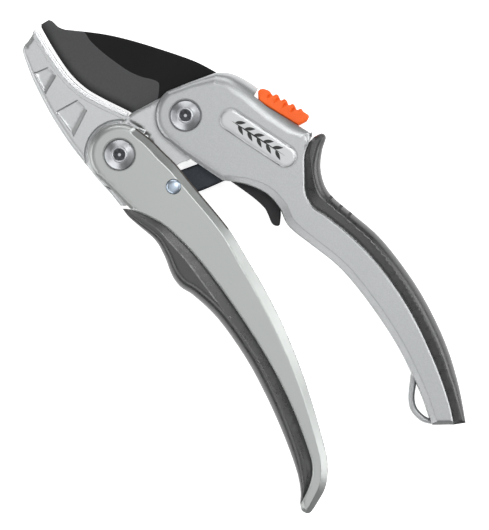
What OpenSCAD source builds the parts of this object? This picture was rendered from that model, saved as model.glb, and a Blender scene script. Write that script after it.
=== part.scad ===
// Ratchet anvil pruning shears, lying on their back faces with the flat sides up.
// The origin is on the blade pivot's axis at the back face. +X runs from the handle
// pivot to the blade pivot, +Y towards the jaws, and +Z is up through the thickness.

/* [Handles] */
// Thickness of both handles across their flat faces
handle_t = 16; // [15:0.5:20]
// Reach from the blade pivot to the ends of the handles
handle_reach = 156.6; // [140:0.2:188]
// Distance from the handle pivot to the blade pivot
pivot_gap = 29.5; // [28.5:0.5:33]
// Edge radius along the silver inner edges
edge_r = 2.8; // [1:0.1:4]
// Edge radius along the rounded spine of the upper handle
spine_r = 7.2; // [4:0.1:7.4]
// How far each grip's thickness stays below the handle's
grip_relief = 0.6; // [0.4:0.1:2]
// Height of the rib that each grip is moulded over
rib_h = 3; // [1.5:0.1:4]
// Thickness of the rib that each grip is moulded over
rib_t = 6; // [3:0.1:9]

/* [Jaws] */
// Reach from the blade pivot to the tip of the blade
jaw_reach = 59; // [50:0.5:71]
// Thickness of the blade
blade_t = 3; // [2:0.1:3.6]
// Thickness of the anvil arm
arm_t = 8; // [7.4:0.1:9.6]
// Width of the anvil strip
strip_w = 1.9; // [1.2:0.1:3]
// Angle that the blade still closes from rest
blade_close = 1.2; // [0.5:0.1:2]
// Gap left between the blade and the anvil strip when closed
bite_gap = 0.25; // [0.2:0.05:0.5]
// Width of the ground bevel at the cutting edge
edge_grind = 1.6; // [0.5:0.1:3]

/* [Ratchet] */
// Radius of the tooth tips on the blade's tail
tooth_tip_r = 14.2; // [13.2:0.1:14.3]
// Height of the teeth
tooth_h = 1.6; // [0.8:0.1:2]
// Number of teeth
tooth_n = 4; // [3:1:5]
// Angle from one tooth to the next
tooth_step = 6; // [4:0.5:6]
// Thickness of the pawl link and of the trigger
link_t = 3; // [2:0.1:3.4]

/* [Bolts and rivets] */
// Diameter of the bolt heads
head_d = 12; // [9:0.1:14.4]
// Height of the bolt heads
head_h = 3.2; // [2.6:0.1:3.6]
// Depth of the counterbores for the bolt heads
sink = 2.4; // [1.6:0.1:2.8]
// Diameter of the bolt shanks
shank_d = 6; // [4:0.1:7.2]
// Diameter of the threaded cores
core_d = 4.4; // [3:0.1:5]
// Wall of the bushes round the bolts
bush_wall = 1; // [0.8:0.1:1.6]
// Diameter of the flat nut heads
nut_d = 11; // [8:0.1:13]
// Thickness of the flat nut heads
nut_h = 2; // [1.4:0.1:2.2]
// Diameter of the link rivet's heads
rivet_head_d = 5.8; // [4.8:0.1:7]
// Diameter of the link rivet's shank
rivet_d = 4; // [3:0.1:4.6]
// Diameter of the dowels and of the trigger pin
dowel_d = 2.5; // [1.5:0.1:2.8]
// Diameter of the opening spring's wire
wire_d = 0.9; // [0.5:0.1:1]
// Diameter of the wire of the two small springs
fine_wire_d = 0.6; // [0.3:0.05:0.6]

/* [Thumb slider] */
// Length of the slider along the spine
slider_l = 18; // [15:0.5:20]
// Travel of the slider
slider_travel = 3; // [2:0.5:4]
// Width of the slider through the thickness of the handle
slider_w = 13; // [8:0.1:14]
// Height of the slider over its track
slider_h = 6; // [4:0.1:7]

/* [Clearances] */
// Radial running fit of a hole on a bush or pin
run_fit = 0.05; // [0.02:0.01:0.09]
// Gap on each side of a part that turns between two walls
side_gap = 0.2; // [0.1:0.05:0.4]
// Gap round a part that moves inside a pocket
play = 0.5; // [0.3:0.1:0.8]

/* [Hidden] */
$fn = 48;

zm = handle_t / 2;                       // mid-plane of everything flat
p2 = [-pivot_gap, 0];                    // handle pivot
p3 = p2 + [11.6, -21.2];                 // pawl link's pivot on the lower handle
pt = [13.4, -30];                        // trigger's pivot in the upper handle
drawn_reach = 156.6;                     // reach that the handle outlines are drawn at
drawn_jaw = 59;                          // reach that the jaw outlines are drawn at
grip_start = -60;                        // below this height the handles stretch
jaw_start = 14;                          // above this height the jaws stretch
slot_t = link_t + 2 * side_gap;          // slot for the link, the trigger and the lock bolt
link_slot_t = link_t + 2 * play;         // slot for the link in the lower handle
blade_slot_t = blade_t + 2 * play;       // slot for the blade between the arm's cheeks
fork_t = arm_t + 2 * side_gap;           // fork of the lower handle round the arm
swing_r = 22.6;                          // reach of the blade's root inside the arm
bush_r = shank_d / 2 + bush_wall;
track_at = [27.4, -10.7];                // front end of the slider's track
track_turn = -61.6;                      // the track's direction
dowels = [[12.2, -5.8], [14.2, -9.8]];     // dowels through the arm's tang
fine_coil_r = rivet_d / 2 + 1.3;         // mean radius of the two small springs
rivet_head_h = 1;                        // height of the rivet heads
loop_t = 6.4;                            // thickness of the hanging loop
pin_in = 1.6;                            // how far the pins' ends lie under the faces
spring_seat_d = 2 * fine_coil_r + 1.4;
spring_seat_h = 2.2;
seam_r = 0.6;                            // edge radius on both sides of the seams
grip_r = 3.4;                            // edge radius along the grips' outer sides
groove_l = 6.4;                          // finger grooves across the upper grip
groove_w = 1.1;
badge_r = 4.2;                           // radius of the badge's round ends
badge_ends = [[14.1, -10.4], [25, -33.2]];

// Points on an arc, a smooth curve through points, and outlines moved sideways.
// A point's third number, where it has one, is its edge radius.
function arc(c, r, a0, a1, n, e = 0) =
    [for (i = [0:n]) let (a = a0 + (a1 - a0) * i / n) [c[0] + r * cos(a), c[1] + r * sin(a), e]];
function blend(a, b, c, d, t) =
    (2 * b + (c - a) * t + (2 * a - 5 * b + 4 * c - d) * t * t
        + (3 * b - a - 3 * c + d) * t * t * t) / 2;
function curve(p, k = 3) =
    [for (i = [0:len(p) - 2]) for (j = [0:k - 1])
        blend(p[max(i - 1, 0)], p[i], p[i + 1], p[min(i + 2, len(p) - 1)], j / k),
     p[len(p) - 1]];
function back(p) = [for (i = [len(p) - 1:-1:0]) p[i]];
function flat(p) = [for (q = p) [q[0], q[1]]];
function edged(p, e) = [for (q = p) [q[0], q[1], e]];
function moved(p, d) = [for (q = p) [q[0] + d[0], q[1] + d[1], len(q) > 2 ? q[2] : 0]];
function turned(p, a) =
    [for (q = p) [q[0] * cos(a) - q[1] * sin(a), q[0] * sin(a) + q[1] * cos(a), 0]];
function unit(v) = v / norm(v);
function normal(a, b) = let (t = unit([b[0] - a[0], b[1] - a[1]])) [-t[1], t[0]];
function beside(p, d) =
    [for (i = [0:len(p) - 1])
        let (n = normal(p[max(i - 1, 0)], p[min(i + 1, len(p) - 1)]))
        [p[i][0] + d * n[0], p[i][1] + d * n[1]]];
function clean(p) =
    [for (i = [0:len(p) - 1]) let (q = p[(i + len(p) - 1) % len(p)])
        if (norm([p[i][0] - q[0], p[i][1] - q[1]]) > 0.05) p[i]];
function tapered(p, e) =
    [for (i = [0:len(p) - 1])
        [p[i][0], p[i][1], e * min(1, (i + 0.2) / 5, (len(p) - 0.8 - i) / 5)]];
function jaws(p) =
    [for (q = p) [q[0], q[1] < jaw_start ? q[1]
        : jaw_start + (q[1] - jaw_start) * (jaw_reach - jaw_start) / (drawn_jaw - jaw_start), 0]];
function stretched(y) = y > grip_start ? y
    : grip_start + (y - grip_start) * (handle_reach + grip_start) / (drawn_reach + grip_start);
function hands(p) =
    [for (q = p) len(q) > 2 ? [q[0], stretched(q[1]), q[2]] : [q[0], stretched(q[1])]];

// How far a rounded edge of radius e has drawn in at height h from the mid-plane
function drawn_in(e, h) =
    let (s = min(e, max(0, h - (zm - e)))) e - sqrt(e * e - s * s);
function tier(p, h) =
    [for (i = [0:len(p) - 1])
        let (n = normal(p[(i + len(p) - 1) % len(p)], p[(i + 1) % len(p)]), d = drawn_in(p[i][2], h))
        [p[i][0] + d * n[0], p[i][1] + d * n[1]]];

// A plate of thickness t about the mid-plane
module plate(t) {
    translate([0, 0, zm]) linear_extrude(t, center = true) children();
}
// A handle with rounded edges, as tiers that draw in towards the two faces
module rounded(p, half) {
    line = clean(p);
    heights = [0, half - 3.2, half - 1.8, half - 0.7, half];
    for (i = [0:3])
        plate(2 * heights[i + 1])
            polygon(tier(line, i == 0 ? 0 : (heights[i] + heights[i + 1]) / 2));
}
// Rib in the middle of a seam, which the grip on that side is moulded over
module grip_rib(seam, side) {
    inner = [4:len(seam) - 5];
    under = [for (i = inner) beside(seam, -side * rib_h / 4)[i]];
    over = [for (i = inner) beside(seam, side * rib_h)[i]];
    plate(rib_t) polygon(hands(concat(under, back(over))));
}
module rod(d, z0, z1) {
    translate([0, 0, z0]) cylinder(d = d, h = z1 - z0);
}
module ring(di, d, z0, z1) {
    difference() {
        rod(d, z0, z1);
        rod(di, z0 - 1, z1 + 1);
    }
}
// A coil of round wire about the Z axis, as one swept solid
module coil(r, w, turns, z0, sides = 6, per_turn = 16) {
    n = ceil(turns * per_turn);
    pitch = w * 1.15;
    pts = [for (i = [0:n]) let (a = 360 * i / per_turn, z = z0 + w / 2 + pitch * i / per_turn)
        for (j = [0:sides - 1]) let (b = 360 * j / sides)
            [(r + w / 2 * cos(b)) * cos(a), (r + w / 2 * cos(b)) * sin(a), z + w / 2 * sin(b)]];
    faces = concat([[for (j = [sides - 1:-1:0]) j]],
        [for (i = [0:n - 1]) for (j = [0:sides - 1])
            [i * sides + (j + 1) % sides, (i + 1) * sides + (j + 1) % sides, (i + 1) * sides + j,
             i * sides + j]],
        [[for (j = [0:sides - 1]) n * sides + j]]);
    polyhedron(pts, faces);
}

// Outline of the upper handle, anticlockwise from the top of its round head
upper_head_r = 11.7;
upper_left = curve([[-11, -4], [-8, -12.3], [-4.4, -20.2], [-0.4, -28.6]]);
upper_palm = curve([[-0.4, -28.6], [3, -31.2], [7.8, -36], [11.6, -42], [13, -49], [12.4, -55],
    [13.2, -59.4], [16.2, -67], [21, -79.6], [23.5, -93], [24.9, -110], [24.9, -122],
    [24.2, -130]]);
upper_foot = curve([[23.8, -134.5], [22.9, -141], [21.6, -147]]);
upper_seam = curve([[35.8, -33], [31.6, -36.4], [27.6, -43], [24.4, -49], [24.1, -55],
    [27, -61.4], [31, -72.3], [34, -85], [35.6, -100], [35.5, -115], [33.6, -132],
    [30.8, -146], [28, -154.8]]);
upper_spine = curve([[38.6, -29.4], [35.8, -22], [32, -12], [29.4, -4.8], [26, 1.8],
    [22.8, 5.7], [18.9, 8.2]]);
upper_outer = curve([[32.4, -156.6], [37.8, -142], [41.4, -127], [43, -111], [42.8, -96],
    [40.6, -79], [36.4, -66], [33.2, -57], [32.4, -51], [34.4, -44], [38.4, -38.4],
    [42.2, -34.8]]);
upper_silver = hands(concat(
    arc([0, 0], upper_head_r, 96, 200, 10, edge_r), edged(upper_left, edge_r),
    edged(upper_palm, edge_r), edged(upper_foot, edge_r), [[20.9, -150.7, edge_r]],
    edged(back(upper_seam), seam_r), [[37.8, -31.6, 3]], edged(upper_spine, spine_r),
    [[8.8, 10.1, edge_r]]));
upper_grip_line = hands(concat(
    edged(upper_seam, seam_r), tapered(upper_outer, grip_r), [[41.6, -32.6, 1.5],
    [38.4, -32.3, seam_r]]));

// Outline of the lower handle, from its own pivot
lower_head_r = 12;
lower_palm = curve(concat(edged([[10.9, 5.1], [13.5, -1.5], [14.9, -7], [16.8, -14.3],
    [17.9, -21.7], [19.2, -30], [21.6, -46], [21.8, -60], [21.7, -74], [20.4, -91],
    [16.9, -112], [10.8, -136], [7.7, -144], [3, -150.2]], edge_r),
    [[-3.2, -154, 2], [-7.5, -155.7, 1.2], [-9.5, -153.6, 0.8], [-8.8, -151, seam_r]]));
lower_cheek = curve([[-11.8, -2], [-10.4, -6.5], [-8.7, -13], [-6.9, -20.4]]);
lower_seam = curve([[-6.9, -20.4], [-2.3, -26.4], [1.6, -33.8], [5.2, -47.5], [7.4, -64],
    [8.7, -84], [8.8, -102], [7.5, -118], [4.9, -133], [2.6, -141], [-2, -146.6],
    [-8.8, -151]]);
lower_outer = curve([[-8.8, -151], [-6.2, -147], [-3.4, -139], [-0.6, -124], [1.2, -108],
    [1.8, -92], [0.4, -74], [-3, -61.5], [-5.8, -55.6], [-6.3, -50], [-5, -42], [-5, -35],
    [-7.8, -26.5], [-9.2, -22], [-9.6, -18.3]]);
lower_silver = hands(concat(
    arc([0, 0], lower_head_r, 25, 185, 14, edge_r), edged(lower_cheek, edge_r),
    edged(lower_seam, seam_r), back(lower_palm)));
lower_grip_line = hands(concat(back(tapered(lower_outer, grip_r)), back(edged(lower_seam, seam_r))));

// Outline of the jaws. The anvil's edge is measured from the handle pivot.
anvil_edge = jaws(curve([[-2.4, 57.1], [-2.4, 50], [-2.1, 43], [-1.2, 35.4], [1.2, 28],
    [5, 21.4], [9.4, 14.9], [11.2, 12.2]]));
anvil_back = jaws(curve([[-9.7, 55.2], [-11.3, 54.1], [-12.3, 51.4], [-14, 41.5], [-14.9, 28],
    [-14.5, 14.5], [-13.2, 4], [-12.1, -4], [-10.6, -11], [-9.8, -17]]));
anvil_tip = jaws([[-3.3, 58.2], [-4.5, 57.9], [-5.4, 56.9], [-8.1, 55.6]]);
blade_back = jaws(curve([[-22.9, 52.4], [-12, 44.1], [-4.2, 36.9], [4.2, 27.8], [13.6, 16.7],
    [18.7, 8.6]]));
blade_tip = jaws(curve([[-26.6, 58.9], [-25.6, 57.9], [-24.6, 54.6], [-22.9, 52.4]]));
blade_edge = back(beside(turned(moved(anvil_edge, p2), -blade_close), bite_gap));
tail_end = -56 - tooth_n * tooth_step;   // angle where the last tooth ends

module upper_handle() {
    color("#bfc2c2") difference() {
        union() {
            rounded(upper_silver, zm);
            grip_rib(upper_seam, 1);
            hanging_loop();
        }
        plate(arm_t) polygon(flat(tang_line()));
        plate(blade_slot_t) union() {
            circle(r = 21.9);
            polygon([[0, 0], [32 * cos(12), 32 * sin(12)], [20, 34], [-30, 34], [-30, 0]]);
        }
        plate(slot_t) polygon(works_line());
        slider_track();
        rod(shank_d, -1, handle_t + 1);
        rod(head_d + 2 * play, handle_t - sink, handle_t + 1);
        rod(nut_d, -1, nut_h);
        for (d = dowels) translate(d) rod(dowel_d, pin_in, handle_t - pin_in);
        translate(pt) rod(dowel_d, pin_in, handle_t - pin_in);
        translate(pt) rod(spring_seat_d, zm, zm + slot_t / 2 + spring_seat_h);
        badge_seat(2);
    }
}
// Cavity that the pawl, the trigger and the lock bolt work in, open to the palm side
function works_line() = [[-16, -6], [-8, -34], [3, -60], [16.6, -57], [18.5, -46], [20.5, -32],
    [25.6, -21], [24.4, -14], [19.5, -3.6], [8, -4]];
module hanging_loop() {
    outer = curve([[25.5, -128], [21.4, -133], [18, -138], [16.7, -142.5], [18, -147.6],
        [21.2, -151]]);
    inner = curve([[22, -149.2], [20.2, -146.4], [19.3, -142.5], [20.4, -138.6],
        [23.6, -134.4], [25.4, -132.4]]);
    plate(loop_t) polygon(hands(concat(outer, [[24.4, -150], [22.6, -149.4]], inner,
        [[26.4, -131]])));
}
// Tang of the anvil arm, which fills the head of the upper handle
function tang_line() = concat(arc([0, 0], 16, 250, 355, 12), [[19.4, -6.6], [18.6, 1.4],
    [12, 7], [4, 9.4], [-6.3, 11], [-30, 11], [-30, -16]]);

module upper_grip() {
    color("#26282a") difference() {
        rounded(upper_grip_line, zm - grip_relief / 2);
        grip_rib(upper_seam, 1);
        for (q = [[36.1, -64.6], [34.6, -60.3], [32.8, -55.4]])
            translate([q[0], q[1], zm]) rotate(14)
                cube([groove_l, groove_w, 2 * handle_t], center = true);
    }
}
module badge_seat(h) {
    d = badge_ends[1] - badge_ends[0];
    a = atan2(d[1], d[0]);
    translate([0, 0, handle_t - 0.6]) linear_extrude(h)
        polygon(flat(concat(arc(badge_ends[0], badge_r, a + 90, a + 270, 12),
            arc(badge_ends[1], badge_r, a - 90, a + 90, 12))));
}
module badge() {
    color("#d8dadb") badge_seat(0.9);
}

// Whatever lies along the slider's track: x towards the handle's end, y outwards
module along_track() {
    translate([track_at[0], track_at[1], zm]) rotate(track_turn) children();
}
module track_bar(x0, x1, y0, y1, t) {
    translate([x0, y0, -t / 2]) cube([x1 - x0, y1 - y0, t]);
}
stem_x = [4, 8];                         // stem of the lock bolt along the track
bolt_x = [-7.6, 10];                     // the lock bolt's own ends
bolt_y = [-6, -3.2];
slider_back = 0.7;                       // overhang of the slider's back end
module slider_track() {
    along_track() {
        track_bar(-3.9, slider_l + slider_back + slider_travel + play, 0, 14,
            slider_w + 2 * side_gap);
        track_bar(stem_x[0] - play, stem_x[1] + slider_travel + play, -4, 1, slot_t);
        track_bar(bolt_x[0] - 3, bolt_x[1] + slider_travel + play, bolt_y[0] - 1.2,
            bolt_y[1] + 0.6, slot_t);
    }
}
module lock_slider() {
    rib_step = 3.6;
    rib_x = [for (i = [0:3]) slider_l - 3.4 - rib_step * (3 - i)];
    top = concat([[slider_l + slider_back, 3.2], [slider_l + 0.4, slider_h - 0.6]],
        [for (i = [3:-1:0]) each [[rib_x[i] + 0.9, slider_h + 0.1], [rib_x[i] - 0.5, slider_h],
            [rib_x[i] - 0.9, slider_h - 0.7]]],
        [[-0.6, slider_h - 0.3], [-2.6, slider_h - 1.1], [-3.3, slider_h - 2.6]]);
    color("#f0601c") along_track() difference() {
        linear_extrude(slider_w, center = true)
            polygon(concat([[-1.2, side_gap], [slider_l - 1.2, side_gap]], top));
        track_bar(stem_x[0], stem_x[1], 0, 2.6, slot_t - 2 * side_gap);
    }
}
module lock_bolt() {
    color("#8d9194") along_track() union() {
        track_bar(bolt_x[0], bolt_x[1], bolt_y[0], bolt_y[1], link_t);
        track_bar(stem_x[0], stem_x[1], bolt_y[0], 2.6, slot_t - 2 * side_gap);
    }
}
// Leaf that holds the lock bolt where it is put, standing off the channel's floor
module lock_spring() {
    floor_y = bolt_y[0] - 1.2;
    color("#9a9fa3") along_track() linear_extrude(2.4, center = true)
        polygon([[-1, floor_y], [1.6, floor_y], [4, floor_y + 0.55], [6.4, floor_y], [9, floor_y],
            [9, floor_y + 0.35], [6.6, floor_y + 0.35], [4, floor_y + 0.9],
            [1.4, floor_y + 0.35], [-1, floor_y + 0.35]]);
}

module anvil_arm() {
    slot = concat(arc([0, 0], swing_r, 12, 156, 24), arc([0, 0], 18, 156, 196, 8),
        arc([0, 0], swing_r, 196, 332, 24));
    arm_line = concat(
        back(beside(moved(anvil_edge, p2), -strip_w)), flat(moved(anvil_tip, p2)),
        flat(moved(anvil_back, p2)), flat(arc(p2, 19.6, 241, 262, 4)), [p2 + [7.5, -14]],
        flat(arc([-11.2, -20.5], 6.1, 108, 62, 7)), flat(arc([0, 0], 16, 250, 355, 12)),
        [[19.4, -6.6], [18.6, 1.4], [12, 7], [4, 9.4], [-6.3, 11], [-17.4, 11.5]]);
    color("#c6c9ca") difference() {
        plate(arm_t) polygon(clean(arm_line));
        plate(blade_slot_t) polygon(flat(slot));
        plate(tongue_t) polygon(tongue_line());
        rod(2 * bush_r, 0, handle_t);
        translate(p2) rod(2 * (bush_r + run_fit), 0, handle_t);
        translate(p2) ring(2 * bush_r + 2.4, 2 * coil_r + 3, -1, zm - arm_t / 2 + coil_seat_h);
        for (d = dowels) translate(d) rod(dowel_d, 0, handle_t);
        for (i = pin_spots) translate(tongue_mid(i)) rod(pin_d, zm - pin_l / 2, zm + pin_l / 2);
        for (side = [-1, 1]) for (line = panels)
            translate([0, 0, zm + side * arm_t / 2]) linear_extrude(2 * panel_depth, center = true)
                polygon(flat(moved(jaws(line), p2)));
    }
}
coil_r = 6.6;                            // mean radius of the opening spring
coil_seat_h = wire_d * 3.6;
tongue_t = 2.4;                          // tongue that holds the anvil strip in the arm
tongue_h = 2.2;
pin_d = 1.6;
pin_l = arm_t - 2.4;
pin_spots = [5, 11, 17];
panel_depth = 0.5;
panels = [
    [[-12.2, 44], [-6.4, 43.2], [-5.4, 38.6], [-12.6, 34.6]],
    [[-12.7, 26.9], [-3, 26.6], [-2, 21], [-11.6, 15]]];
function tongue_mid(i) = beside(moved(anvil_edge, p2), -strip_w - tongue_h / 2)[i];
function tongue_line() = let (e = moved(anvil_edge, p2), n = len(e))
    concat([for (i = [2:n - 3]) beside(e, -strip_w + 0.01)[i]],
        [for (i = [n - 3:-1:2]) beside(e, -strip_w - tongue_h)[i]]);

module anvil_strip() {
    line = moved(anvil_edge, p2);
    color("#d6d8da") difference() {
        union() {
            plate(arm_t - 1.6) polygon(concat(flat(line), back(beside(line, -strip_w))));
            plate(tongue_t) polygon(tongue_line());
        }
        for (i = pin_spots) translate(tongue_mid(i)) rod(pin_d, 0, handle_t);
    }
}
module strip_pins() {
    color("#8d9194") for (i = pin_spots) translate(tongue_mid(i))
        rod(pin_d, zm - pin_l / 2, zm + pin_l / 2);
}

// Height where the nut's neck meets the bolt's shank, inside the bush
neck_end = zm - arm_t / 2 + 0.3;
// A domed bolt with a six-lobed socket, pointing down
module bolt() {
    seat = handle_t - sink;
    rim = 1;
    dome_h = head_h - rim;
    dome = [for (i = [0:6]) [head_d / 2 * cos(15 * i), seat + rim + dome_h * sin(15 * i)]];
    color("#b9bcc0") difference() {
        union() {
            rotate_extrude() polygon(concat([[0, seat], [head_d / 2, seat]],
                [for (i = [0:5]) dome[i]], [[0, seat + head_h]]));
            rod(shank_d, neck_end, seat + rim / 2);
            rod(core_d, 1, seat + rim / 2);
        }
        translate([0, 0, seat + 0.9 * rim]) linear_extrude(head_h)
            polygon([for (i = [0:71]) (2.1 + 0.35 * cos(30 * i)) * [cos(5 * i), sin(5 * i)]]);
    }
}
module nut() {
    color("#a9adb1") difference() {
        union() {
            rod(nut_d, 0, nut_h);
            rod(shank_d, 0, neck_end);
        }
        rod(core_d, 1, handle_t);
    }
}
module pivot_bolt() { bolt(); }
module pivot_nut() { nut(); }
module pivot_bush() {
    color("#c9b27a") ring(shank_d, 2 * bush_r, zm - arm_t / 2, zm + arm_t / 2);
}
module handle_bolt() { translate(p2) bolt(); }
module handle_nut() { translate(p2) nut(); }
module handle_bush() {
    color("#c9b27a") translate(p2) ring(shank_d, 2 * bush_r, zm - fork_t / 2, zm + fork_t / 2);
}
module blade_washers() {
    color("#a0a4a8") for (side = [-1, 1])
        translate([0, 0, zm + side * (blade_slot_t - washer_t) / 2])
            ring(2 * bush_r, washer_d, -washer_t / 2, washer_t / 2);
}
hub_r = 10;                              // round root of the blade
washer_t = play - run_fit;
washer_d = 15.6;
module arm_dowels() {
    color("#8d9194") for (d = dowels) translate(d) rod(dowel_d, pin_in, handle_t - pin_in);
}

module blade() {
    root_r = tooth_tip_r - tooth_h;
    teeth = [for (i = [0:tooth_n - 1]) let (a = tail_end + i * tooth_step)
        each [[root_r * cos(a), root_r * sin(a)], [tooth_tip_r * cos(a + 0.4), tooth_tip_r * sin(a + 0.4)],
            [tooth_tip_r * cos(a + 1.4), tooth_tip_r * sin(a + 1.4)]]];
    line = concat(flat(jaws([[-29.8, 58.9]])), flat(back(blade_edge)), [[-16, 9]],
        flat(arc([0, 0], hub_r, 178, 360 + tail_end - 5, 10)), teeth,
        [[root_r * cos(-56), root_r * sin(-56)]], flat(arc([0, 0], hub_r, 306, 362, 5)),
        [[13, 3.4], [18.4, 6.4]], flat(back(blade_back)), flat(back(blade_tip)));
    ground = concat([[-33, 75], [-40, 40]], flat(moved(back(blade_edge), [-2, -1])), [[-16, 9]],
        back(beside(back(blade_edge), edge_grind)));
    color("#2b2c2d") difference() {
        plate(blade_t) polygon(clean(line));
        for (side = [-1, 1])
            translate([0, 0, zm + side * blade_t / 2])
                linear_extrude(blade_t * 0.6, center = true) polygon(ground);
        rod(2 * (bush_r + run_fit), 0, handle_t);
    }
}

module lower_handle() {
    fork = concat([[27, 24], [27, -20.4]], flat(arc([12.8, -24.3], 5.7, 20, 118, 8)),
        flat(arc([0, 0], 20.4, 296, 180, 12)), [[-24, 24]]);
    color("#b9bcba") translate(p2) difference() {
        union() {
            rounded(lower_silver, zm);
            grip_rib(lower_seam, -1);
        }
        plate(fork_t) polygon(fork);
        plate(link_slot_t) polygon([[5.4, -16], [5.6, -25], [9, -38], [15, -46], [30, -46],
            [30, -16]]);
        rod(shank_d, -1, handle_t + 1);
        rod(head_d + 2 * play, handle_t - sink, handle_t + 1);
        rod(nut_d, -1, nut_h);
        translate(p3 - p2) rod(rivet_d, -1, handle_t + 1);
        for (z = [-rivet_head_h, handle_t - rivet_head_h]) translate(p3 - p2)
            rod(rivet_head_d, z, z + 2 * rivet_head_h);
    }
}
module lower_grip() {
    color("#26282a") translate(p2) difference() {
        rounded(lower_grip_line, zm - grip_relief / 2);
        grip_rib(lower_seam, -1);
    }
}
module opening_spring() {
    color("#8d9194") translate(p2) coil(coil_r, wire_d, 2, zm - fork_t / 2);
}
module link_rivet() {
    color("#aab4bc") translate(p3) union() {
        rod(rivet_d, rivet_head_h / 2, handle_t - rivet_head_h / 2);
        rod(rivet_head_d, 0, rivet_head_h);
        rod(rivet_head_d, handle_t - rivet_head_h, handle_t);
    }
}
module link_washers() {
    t = (link_slot_t - link_t) / 2 - run_fit;
    color("#a0a4a8") translate(p3) for (side = [-1, 1])
        translate([0, 0, zm + side * (link_slot_t - t) / 2])
            ring(rivet_d, rivet_d + 1.2, -t / 2, t / 2);
}
module pawl_link() {
    boss = arc(p3, 5, 70, 290, 14);
    nose = [[-10.2, -27.7], [-0.8, -29], [2, -29.1], [5.6, -27.2], [8.4, -22], [8.9, -17],
        [7.4, -14], [6, -13.4], [4.8, -15.4], [2.6, -18.4], [-1, -18.9], [-5.6, -18.2],
        [-12.6, -16.9]];
    color("#34383c") difference() {
        plate(link_t) polygon(concat(flat(boss), nose));
        translate(p3) rod(rivet_d + 2 * run_fit, 0, handle_t);
        translate(p3) ring(rivet_d + 1.4, spring_seat_d, zm + link_t / 2 - 1.8, handle_t);
    }
}
module pawl_spring() {
    color("#9a9fa3") translate(p3) coil(fine_coil_r, fine_wire_d, 1.25, zm + link_t / 2 - 1.7);
}
module trigger() {
    line = curve([[2.2, -30.7], [6.2, -39.8], [8, -45.6], [8, -48.5], [7.5, -52.4], [8.2, -54.1],
        [9.6, -54.7], [10.8, -53.4], [13, -50], [14.2, -45.5], [14.6, -40], [16.2, -34],
        [16.4, -29], [13.6, -27], [10.6, -27.6], [7.5, -29.8]]);
    color("#1d1e20") difference() {
        plate(link_t) polygon(flat(line));
        translate(pt) rod(dowel_d + 2 * run_fit, 0, handle_t);
    }
}
module trigger_pin() {
    color("#8d9194") translate(pt) rod(dowel_d, pin_in, handle_t - pin_in);
}
module trigger_spring() {
    color("#9a9fa3") translate(pt) coil(fine_coil_r, fine_wire_d, 2, zm + slot_t / 2 + 0.2);
}

upper_handle();
upper_grip();
badge();
anvil_arm();
anvil_strip();
strip_pins();
pivot_bolt();
pivot_bush();
pivot_nut();
blade();
blade_washers();
arm_dowels();
lower_handle();
lower_grip();
handle_bolt();
handle_bush();
handle_nut();
opening_spring();
link_rivet();
link_washers();
pawl_link();
pawl_spring();
lock_slider();
lock_bolt();
lock_spring();
trigger();
trigger_pin();
trigger_spring();
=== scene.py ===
import math

import bmesh
import bpy
import numpy as np
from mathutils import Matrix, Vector
from mathutils.geometry import delaunay_2d_cdt
from mathutils.kdtree import KDTree


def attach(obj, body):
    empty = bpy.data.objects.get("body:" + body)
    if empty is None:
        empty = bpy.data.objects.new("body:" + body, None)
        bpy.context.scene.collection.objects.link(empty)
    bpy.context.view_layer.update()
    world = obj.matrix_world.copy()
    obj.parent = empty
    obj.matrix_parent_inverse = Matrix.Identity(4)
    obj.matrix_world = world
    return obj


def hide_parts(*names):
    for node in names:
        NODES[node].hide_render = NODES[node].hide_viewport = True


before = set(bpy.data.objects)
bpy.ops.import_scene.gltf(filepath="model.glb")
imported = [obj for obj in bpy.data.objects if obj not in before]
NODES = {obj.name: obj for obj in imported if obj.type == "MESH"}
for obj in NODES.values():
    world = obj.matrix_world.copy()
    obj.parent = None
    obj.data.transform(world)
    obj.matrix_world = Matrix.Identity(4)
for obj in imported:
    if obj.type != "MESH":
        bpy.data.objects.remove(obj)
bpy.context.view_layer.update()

MM = 0.001
MID = 8.0                        # mid-plane of the tool, mm
P2 = np.array([-29.5, 0.0])      # handle pivot
P3 = np.array([-17.9, -21.2])    # link rivet
PT = np.array([13.4, -30.0])     # trigger pin


# ---------------------------------------------------------------- outlines

def spline(points, step=0.6):
    """A smooth line through the control points, in steps of about step mm."""
    p = np.array(points, float)
    out = []
    for i in range(len(p) - 1):
        a, b, c, d = p[max(i - 1, 0)], p[i], p[i + 1], p[min(i + 2, len(p) - 1)]
        n = max(1, int(round(np.hypot(*(c - b)[:2]) / step)))
        for j in range(n):
            t = j / n
            out.append((2 * b + (c - a) * t + (2 * a - 5 * b + 4 * c - d) * t * t
                        + (3 * b - a - 3 * c + d) * t ** 3) / 2)
    out.append(p[-1])
    return np.array(out)


def arc(centre, r, a0, a1, n):
    """n + 1 points on an arc from angle a0 to a1 in degrees."""
    a = np.radians(np.linspace(a0, a1, n + 1))
    return np.stack([centre[0] + r * np.cos(a), centre[1] + r * np.sin(a)], 1)


def straight(points, step=0.8):
    """Straight stretches through the points, in steps of about step mm."""
    p = np.array(points, float)
    out = []
    for a, b in zip(p[:-1], p[1:]):
        n = max(1, int(round(np.hypot(*(b - a)[:2]) / step)))
        out += [a + (b - a) * j / n for j in range(n)]
    out.append(p[-1])
    return np.array(out)


def edge(line, width, drop):
    """The line with an edge treatment's width and drop as its third and fourth columns."""
    line = np.asarray(line, float)[:, :2]
    n = len(line)
    if not np.isscalar(width):
        width = np.interp(np.linspace(0, 1, n), np.linspace(0, 1, len(width)), width)
    if not np.isscalar(drop):
        drop = np.interp(np.linspace(0, 1, n), np.linspace(0, 1, len(drop)), drop)
    return np.column_stack([line, np.full(n, width) if np.isscalar(width) else width,
                            np.full(n, drop) if np.isscalar(drop) else drop])


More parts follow.
